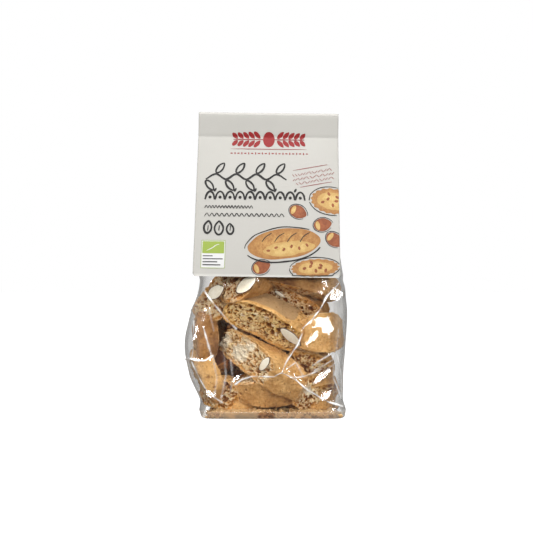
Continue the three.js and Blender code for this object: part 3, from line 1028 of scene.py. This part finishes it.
# hazeBase is the milkiness of the film away from its creases.
def makeFilmMaterial(name, hazeBase):
    material, tree, output = newMaterial(name)
    crease, fold, seam, paintedRearShade = (maskValue(tree, mask) for mask in ("crease", "fold", "seam", "paintedRearShade"))
    wrinkles = stretchedNoise(tree, 210.0, 4.0, 0.55, (1.0, 1.0, 0.35), (0, 0.5, 0))
    normal = bumpFrom(tree, wrinkles, 0.16, 0.0012)
    lines = stretchedNoise(tree, 420.0, 3.0, 0.6, (1.0, 1.0, 0.08))
    # The film is greyer towards the bag's sides, with vertical lines: the gussets' folds, and painted
    # reflection of the darker room.
    side = maths(tree, "MULTIPLY", maskValue(tree, "side"), rangeOf(tree, lines, 0.3, 0.7, 0.45, 1.0))
    facing = place(tree, "ShaderNodeLayerWeight", Blend=0.35)
    # rear tints the back wall darker to see through: painted shade.
    tint = coated(tree, (0.985, 0.983, 0.978), (
        (facing.outputs["Facing"], (0.66, 0.65, 0.63)),
        (paintedRearShade, (0.74, 0.735, 0.725)),
        (fold, (0.60, 0.47, 0.31)),
        (seam, (0.40, 0.25, 0.15)),
        (side, (0.66, 0.655, 0.645)),
    ))
    clear = place(tree, "ShaderNodeBsdfTransparent", Color=tint)
    gloss = place(tree, "ShaderNodeBsdfAnisotropic", Roughness=0.12, Color=(0.97, 0.97, 0.97), Normal=normal)
    grazing = place(tree, "ShaderNodeLayerWeight", Blend=0.5, Normal=normal)
    rise = maths(tree, "POWER", grazing.outputs["Facing"], 4.0)
    shine = maths(tree, "ADD", maths(tree, "MULTIPLY", rise, 0.8), 0.034)
    sheet = mixShaders(tree, shine, clear, gloss)
    # The haze is near white along the creases, partly as a painted highlight, and tan in the folded band.
    hazeAndHighlightTint = coated(tree, (0.62, 0.615, 0.60), ((crease, (0.98, 0.97, 0.95)), (fold, (0.60, 0.45, 0.27))))
    haze = place(tree, "ShaderNodeBsdfPrincipled", Roughness=0.3, Base_Color=hazeAndHighlightTint, Normal=normal)
    hazeAndPaintedHighlight = maths(tree, "ADD", crease, hazeBase)
    hazeAndPaintedHighlight = maths(tree, "ADD", hazeAndPaintedHighlight, maths(tree, "MULTIPLY", side, 0.2))
    hazeAndPaintedHighlight = maths(tree, "ADD", hazeAndPaintedHighlight, maths(tree, "MULTIPLY", fold, 0.45), clamp=True)
    mixed = mixShaders(tree, hazeAndPaintedHighlight, sheet, haze)
    tree.links.new(mixed.outputs[0], output.inputs[0])
    return material


# The folded band round the bottom: a paler length on the left, a thick seam, a thin dark line.
def bandMasks(points):
    x, y, z = points.T
    ahead, band = y < 0, 1 - smoothStep(*film["bandTop"], z)
    pale = smoothStep(-31, -27, x) * (1 - smoothStep(-6.5, -5.5, x)) * ahead
    block = smoothStep(-6, -5, x) * (1 - smoothStep(4.5, 6, x)) * ahead
    line = np.exp(-(((z - 1.6) / 0.4) ** 2)) * smoothStep(6, 12, x) * ahead
    fold = band * (0.4 + 0.45 * pale) * (1 - 0.8 * block)
    return fold, np.clip(band * (0.75 * block + 0.6 * line), 0, 1)


def makeFilm():
    rings = cadRings("bag") + cadRings("bag_neck")[1:]
    print("film rings:", len(rings), "points a ring:", {len(ring) for ring in rings})
    heights = np.array([ring[:, 2].mean() for ring in rings])
    rings = np.array(rings)
    around = rings.shape[1]
    steps = np.concatenate([
        np.linspace(0, around / 2, film["backColumns"], endpoint=False),
        np.linspace(around / 2, around, film["frontColumns"], endpoint=False),
    ])
    wanted = np.concatenate([
        (0, 0.3, 0.9, 1.7, 2.5, 3.3, 4.1, 4.7, 5.0, 5.3),
        np.linspace(5.9, 96, film["bodyRows"]),
        np.linspace(100, 193, film["neckRows"]),
        (198.5, 204),
    ])
    grid = betweenRings(alongRing(rings, steps), heights, wanted, 7.0)
    normals = gridNormals(grid)
    z = grid[:, :, 2]
    body = smoothStep(*film["freeFrom"], z) * (1 - smoothStep(*film["freeTo"], z))
    lift = stretchedLift(grid, normals, body)

    flat = grid.reshape(-1, 3)
    x, y, up = flat.T
    front = smoothStep(*film["frontFrom"], y)
    ridges, white = creaseLift(x, up)
    crumple = 1 - np.abs(latticeNoise(flat * (1, 1, 0.7), 11, 51))
    crumple += 0.3 * (1 - np.abs(latticeNoise(flat * (1, 1, 0.8), 5, 52)))
    crumple = film["crumple"] * (crumple - 0.85)
    extra = ((ridges * front + crumple) * body.ravel()).reshape(z.shape)
    based = grid + normals * lift[:, :, None]
    tilt, calm = glintLift(based, normals)
    grid = based + normals * (extra * (1 - calm) + tilt)[:, :, None]
    # white: how white each crease is, partly a painted highlight.
    white = white * front * body.ravel()

    rows, columns = z.shape
    base = rows * columns
    points = np.vstack([grid.reshape(-1, 3), [(0, 0, 0.0)]])
    faces = gridFaces(rows, columns, around=True)
    faces += [((column + 1) % columns, column, base) for column in range(columns)]
    fold, seam = bandMasks(points)
    # side: share of the film towards the bag's sides, tinted greyer there, partly as painted reflection.
    reachX = np.abs(grid[:, :, 0])
    side = smoothStep(0.72, 0.92, reachX / reachX.max(axis=1)[:, None]).ravel()
    masks = {
        "crease": np.append(white, 0),
        "fold": fold,
        "seam": seam,
        "side": np.append(side, 0),
        "paintedRearShade": smoothStep(2, 14, points[:, 1]),  # tinted darker to see through: painted shade
    }
    material = makeFilmMaterial("clearFilm", 0.003)
    piece = addPiece("bag_film", toFrame(points), faces, material, masks)
    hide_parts("bag", "bag_neck")
    print("film made:", len(faces), "faces")
    return grid


filmGrid = makeFilm()


# The film's two edges meet in a welded seam that lies flat down the middle of the back.
backSeam = {
    "halfWidth": 5,
    "columns": 11,
    "firstRow": 10,  # of the film, above the folded band
    "standOff": (0.3, 0.5),  # of its two sides
    "weld": 0.06,  # depth of the ribs that the sealing tool leaves
    "weldFrom": 1.5,
    "ribs": 2.4,
}


def makeBackSeam():
    across = np.linspace(-backSeam["halfWidth"], backSeam["halfWidth"], backSeam["columns"])
    back = filmGrid[backSeam["firstRow"]:-1, : film["backColumns"] + 1]
    layers = []
    for out in backSeam["standOff"]:
        for row in back:
            y = np.interp(across, row[::-1, 0], row[::-1, 1])
            rib = backSeam["weld"] * math.sin(row[0, 2] * backSeam["ribs"])
            y += out + rib * (np.abs(across) > backSeam["weldFrom"])
            layers.append(np.stack([across, y, 0 * across + row[0, 2]], 1))
    faces = sheetFaces(len(back), len(across))
    material = makeFilmMaterial("weldedFilm", 0.1)
    addPiece("back_seam", toFrame(np.concatenate(layers)), faces, material)
    print("seam made:", len(faces), "faces")


makeBackSeam()

# The folded card: the same form as its solid, with finer curves, creases and soft corners.
card = {
    "width": 98.8,
    "top": 211.0,
    "sheet": 0.5,
    "crease": 193.0,
    "bottom": 95.0,
    "outerFlat": 2.6,  # from the middle to the outside above the crease
    "outerSpread": 28.2,  # the same at the lower edge
    "bow": 1.1,
    "shift": 1.3,
    "roll": 0.75,
    "corner": 1.2,
    "acrossSteps": 96,
}


# Places of the card's outside: u across, v up the card, side -1 for the front.
def cardPoint(u, v, side=-1, inset=0.0, lift=0.0):
    u, v = np.broadcast_arrays(np.asarray(u, float), np.asarray(v, float))
    t = np.clip((v - card["bottom"]) / (card["crease"] - card["bottom"]), 0, 1)
    depth = card["outerSpread"] + (card["outerFlat"] - card["outerSpread"]) * t
    crown = np.cos(math.pi * u / card["width"])
    depth = depth + card["bow"] * crown * np.sin(math.pi * t)
    foldCentre = card["top"] - card["outerFlat"]
    over = np.clip((v - foldCentre) / card["outerFlat"], 0, 1)
    depth = np.where(over > 0, card["outerFlat"] * np.cos(over * math.pi / 2), depth)
    z = np.where(over > 0, foldCentre + card["outerFlat"] * np.sin(over * math.pi / 2), v)
    ripple = 0.16 * planeNoise(u, v, 26, 61, side) + 0.05 * planeNoise(u, v, 9, 62, side)
    for height, deep, half in ((193.6, 0.16, 0.7), (208.2, 0.1, 0.5)):
        ripple = ripple - deep * np.exp(-(((v - height) / half) ** 2))
    depth = depth + (ripple + lift - inset) * (1 - over)
    z = z - inset * over
    angle = math.radians(card["roll"])
    x = u * math.cos(angle) + (z - card["crease"]) * math.sin(angle)
    z = card["crease"] - u * math.sin(angle) + (z - card["crease"]) * math.cos(angle)
    return np.stack([x + card["shift"], side * depth, z], -1)


def makeCard():
    material = matteMaterial(
        "offWhiteBoard", ((0.366, 0.3555, 0.3305), (0.35, 0.341, 0.3155)), (24.0, 1300.0, 0.35), 0.62, 0.3,
        (1100.0, 4.0, 0.12, 0.0003),
    )
    across = np.linspace(-0.5, 0.5, card["acrossSteps"] + 1) * card["width"]
    panel = np.concatenate([
        np.linspace(card["bottom"], 191, 50),
        np.linspace(191.8, 208.4, 22),
        np.linspace(208.7, card["top"], 9),
    ])
    sheets = []
    for inset in (0.0, card["sheet"]):
        for side, stations in ((-1, panel), (1, panel[::-1][1:])):
            for v in stations:
                corner = max(0.0, 1 - (v - card["bottom"]) / card["corner"])
                pull = card["corner"] * (1 - math.sqrt(max(0.0, 1 - corner**2)))
                sheets.append(cardPoint(across * (1 - 2 * pull / card["width"]), v, side, inset))
    faces = sheetFaces(len(sheets) // 2, len(across), endsInward=True)
    piece = addPiece("folded_card", toFrame(np.concatenate(sheets)), faces, material)
    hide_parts("header_card")
    print("card made:", len(faces), "faces")


makeCard()

# Print on the card's front: fields and pen strokes that follow its surface, one piece for each ink.
inks = {
    "red": ((0.21, 0.005, 0.006), (0.17, 0.004, 0.005)),
    "black": ((0.009, 0.008, 0.008), (0.018, 0.016, 0.015)),
    "green": ((0.23, 0.30, 0.052), (0.21, 0.28, 0.046)),
    "white": ((0.53, 0.527, 0.52), (0.51, 0.507, 0.50)),
    "grey": ((0.05, 0.049, 0.047), (0.08, 0.078, 0.075)),
    "gold": ((0.42, 0.24, 0.075), (0.24, 0.10, 0.03)),
    "cream": ((0.50, 0.36, 0.14), (0.36, 0.21, 0.065)),
    "brown": ((0.27, 0.085, 0.03), (0.15, 0.038, 0.014)),
}
inkLift = {"field": 0.07, "shade": 0.11, "pen": 0.15}
paintedInks = ("gold", "cream", "brown")  # with darker edges and a coarser drift
inkPiles = {name: newPile() for name in inks}
printEdge = {"side": 49.1, "low": 95.5}


def layInk(ink, places, faces, layer, wash=0.0):
    u = np.clip(places[:, 0], -printEdge["side"], printEdge["side"])
    v = np.maximum(places[:, 1], printEdge["low"])
    addShape(inkPiles[ink], cardPoint(u, v, -1, 0.0, inkLift[layer]), faces, wash)


def smoothPath(path, spacing=0.9):
    path = np.array(path, float)
    ends = np.vstack([2 * path[0] - path[1], path, 2 * path[-1] - path[-2]])
    total = np.linalg.norm(np.diff(path, axis=0), axis=1).sum()
    steps = np.linspace(0, len(path) - 1 - 1e-6, max(6, int(total / spacing)))
    k = steps.astype(int)
    t = (steps - k)[:, None]
    return curveBetween(*(ends[k + i] for i in range(4)), t)


def stroke(ink, path, width, layer="pen", taper=0.35):
    line = smoothPath(path)
    run = np.gradient(line, axis=0)
    side = np.stack([-run[:, 1], run[:, 0]], 1) / np.maximum(np.linalg.norm(run, axis=1), 1e-6)[:, None]
    share = np.linspace(-1, 1, len(line))
    pressure = 1 + 0.18 * planeNoise(line[:, 0], line[:, 1], 4, 81)
    half = width / 2 * (1 - taper * np.abs(share) ** 5) * pressure
    places = np.vstack([line + side * half[:, None], line - side * half[:, None]])
    count = len(line)
    faces = [(i, i + count, i + 1 + count, i + 1) for i in range(count - 1)]
    layInk(ink, places, faces, layer)


def blob(centre, halfLong, halfWide, turn=0.0, ragged=0.0, lobes=0, point=0.0):
    angle = np.linspace(0, 2 * math.pi, 64, endpoint=False)
    reach = 1 + ragged * planeNoise(np.cos(angle), np.sin(angle), 0.45, 82, centre[0])
    reach = reach + (0.05 * np.cos(lobes * angle) if lobes else 0)
    x = halfLong * np.cos(angle) * reach
    y = halfWide * np.sin(angle) * reach * (1 - point * np.maximum(0, np.cos(angle)) ** 2)
    return np.stack(turnedBy(x, y, turn), 1) + centre


def field(ink, outline, layer="field", rings=7):
    middle = outline.mean(0)
    places = [middle[None, :]]
    faces, wash, spokes = [], [0.0], len(outline)
    for ring in range(1, rings + 1):
        places.append(middle + (outline - middle) * ring / rings)
        wash += [ring / rings] * spokes
        for i in range(spokes):
            j = (i + 1) % spokes
            a = 1 + (ring - 1) * spokes
            if ring == 1:
                faces.append((0, a + i, a + j))
            else:
                faces.append((a - spokes + i, a + i, a + j, a - spokes + j))
    layInk(ink, np.vstack(places), faces, layer, np.array(wash))


def panelField(ink, left, right, low, high, layer="field"):
    columns, rows = (max(3, int(reach / 1.2)) for reach in (right - left, high - low))
    u, v = np.meshgrid(np.linspace(left, right, columns), np.linspace(low, high, rows))
    layInk(ink, np.stack([u.ravel(), v.ravel()], 1), gridFaces(rows, columns), layer)


def closed(outline, every=4, overlap=2):
    path = outline[::every]
    return np.vstack([path, path[: overlap + 1]])


def makeOrnament():
    field("red", blob((0.4, 191.5), 5.6, 4.1, 90), rings=4)
    for side in (-1, 1):
        stroke("red", [(0.4 + side * 4, 191.5), (0.4 + side * 25, 191.5)], 0.7)
        for k in range(5):
            for lean in (-1, 1):
                centre = (0.4 + side * (8.2 + 3.9 * k), 191.5 + lean * (3.2 - 0.15 * k))
                field("red", blob(centre, 3.3 - 0.15 * k, 1.5, side * lean * 48, point=0.4), rings=3)
    stroke("red", [(-26.4, 184.5), (0, 184.4), (27.2, 184.5)], 0.4, taper=0.8)
    for k in range(23):
        field("red", blob((-25.6 + 2.4 * k, 181.2), 0.85, 0.42, 90 * (k % 2)), rings=2)


def makePenRows():
    crests = [(-43 + 7 * k, 164 + (1.9 if k % 2 else -1.9)) for k in range(9)]
    stroke("black", crests, 1.45)
    for k, (u, v) in enumerate(crests[:-1]):
        up = 1 if k % 2 else -1
        leaf = blob((u + 2.9, v + up * 4.4), 4.3, 1.9, up * 52, point=0.5)
        stroke("black", closed(leaf), 1.3)
    for k in range(10):
        u = -43 + 6.9 * k
        arch = [(u, 147.6), (u + 1.2, 151.6), (u + 3.4, 153.4), (u + 5.6, 151.6), (u + 6.6, 147.6)]
        stroke("black", arch, 1.4)
        field("black", blob((u + 3.4, 149.3), 1.1, 1.1), "pen", 2)
        if k % 2:
            field("black", blob((u, 154.6), 1.5, 0.8, 60, point=0.4), "pen", 2)
    for step, v, height, count in ((1.1, 142.6, 1.0, 31), (1.7, 137.0, 1.1, 33)):
        zigzag = [(-43 + step * k, v + (height if k % 2 else -height)) for k in range(count)]
        stroke("black", zigzag, 0.7)
    for k, (wide, tall) in enumerate(((2.6, 4.2), (3.0, 4.6), (2.4, 3.6))):
        drop = blob((-40.4 + 7.6 * k, 128.4 - 0.6 * k), tall, wide, 84 + 6 * k, point=0.55)
        stroke("black", closed(drop), 1.35)
        stroke("black", [(-40.4 + 7.6 * k, 125.8), (-40.1 + 7.6 * k, 129.6)], 0.7)


def makeSlantedLines():
    lean = math.tan(math.radians(11))
    for v, left, right in ((168.9, 17.5, 41.5), (156.0, 22.5, 44.5)):
        stroke("red", [(left, v + lean * (left - 17)), (right, v + lean * (right - 17))], 0.35)
    for row, (left, right) in enumerate(((17.0, 44.5), (17.4, 46.2), (19.4, 46.0))):
        v = 165.3 - 3.2 * row
        u = left
        while u < right - 1.2:
            length = 1.3 + 0.7 * ((u * 7.3 + row) % 1)
            tilt = 0.9 if int(u * 3.1) % 2 else -0.9
            stroke("red", [(u, v + lean * (u - 17) - tilt), (u + length, v + lean * (u - 17) + tilt)], 0.34)
            u += length + 0.35


def makeLabel():
    left, right, low, high = -44.1, -28.2, 100.6, 119.2
    panelField("white", left, right, low, high)
    panelField("green", left + 0.6, right - 0.6, 110.4, high - 0.6, "shade")
    for path in ([(left, low), (right, low)], [(left, high), (right, high)],
                 [(left, low), (left, high)], [(right, low), (right, high)]):
        stroke("green", path, 0.3, taper=0.0)
    stroke("white", [(-40.5, 112.4), (-37, 114.0), (-34.5, 115.9), (-32.2, 116.6)], 0.5)
    for k, right in enumerate((-36.4, -29.6, -33.2, -31.0)):
        stroke("grey", [(-43.0, 108.7 - 2.0 * k), (right, 108.7 - 2.0 * k)], 0.75, taper=0.0)


def makeBakedDrawing():
    loaf = blob((11.5, 117.5), 24.5, 10.2, 7, ragged=0.05)
    field("gold", loaf, rings=12)
    field("cream", blob((14.5, 114.2), 17.5, 4.9, 8, ragged=0.12), "shade", 9)
    for k in range(4):
        u = -3.5 + 8.6 * k
        stroke("black", [(u, 118.5 + 0.1 * k), (u + 2.6, 122.0 + 0.3 * k), (u + 6.6, 124.6 + 0.3 * k)], 0.6)
    for k in range(6):
        field("brown", blob((1.0 + 5.2 * k, 112.6 + 1.7 * (k % 2) + 0.5 * k), 1.3, 0.8, 25 * k), "pen", 2)
    loose = blob((11.2, 117.0), 26.4, 11.8, 7, ragged=0.03)
    stroke("black", loose[8:34:2], 0.75)
    stroke("black", loose[36:62:2], 1.05)

    for u, v, long, wide, turn in ((44.5, 147.5, 14.5, 8.8, -8), (32.5, 101.5, 15.8, 5.9, 4)):
        field("gold", blob((u, v), long, wide, turn, lobes=18), rings=9)
        field("cream", blob((u, v), 0.72 * long, 0.68 * wide, turn, ragged=0.04), "shade", 7)
        for k in range(7):
            a = 2.4 * k
            share = 0.2 + 0.065 * k
            spot = (u + share * long * math.cos(a), v + share * wide * math.sin(a))
            field("brown", blob(spot, 1.35, 0.9, 50 * k), "pen", 2)
        loose = blob((u - 0.3, v), long + 1.2, wide + 1.1, turn, ragged=0.02)
        loose = loose[loose[:, 0] < printEdge["side"]]
        leftmost = loose[np.argmin(loose[:, 0])]
        stroke("black", [leftmost, leftmost + (0.3, 0.8)], 0.4)
        upper = loose[loose[:, 1] > v]
        lower = loose[(loose[:, 1] < v) & (loose[:, 1] > printEdge["low"] + 0.4)]
        for half in (upper, lower):
            stroke("black", half[np.argsort(half[:, 0])][::2], 0.6)

    for u, v, turn in ((21.0, 139.6, -24), (37.8, 131.0, 12), (45.6, 120.6, -38), (-3.5, 101.6, 20)):
        field("brown", blob((u, v), 6.2, 4.5, turn, point=0.35), rings=6)
        a = math.radians(turn)
        back = (u - 3.4 * math.cos(a), v - 3.4 * math.sin(a))
        field("cream", blob(back, 3.1, 1.5, turn + 90), "shade", 4)
        stroke("black", closed(blob((u + 0.2, v), 6.9, 5.1, turn, point=0.35))[:15], 0.5)


def makePrint():
    makeOrnament()
    makePenRows()
    makeSlantedLines()
    makeLabel()
    makeBakedDrawing()
    for name, tones in inks.items():
        painted = name in paintedInks
        material = matteMaterial(name + "Ink", tones, (260.0 if painted else 60.0, 1100.0, 0.45), 0.55, 0.3,
                                 edge=("wash", 0.55, 1.0, 0.6, tones[1]) if painted else None)
        addPile("print_" + name, inkPiles[name], material, "wash")
    print("print made:", sum(pile["count"] for pile in inkPiles.values()), "vertices")


makePrint()
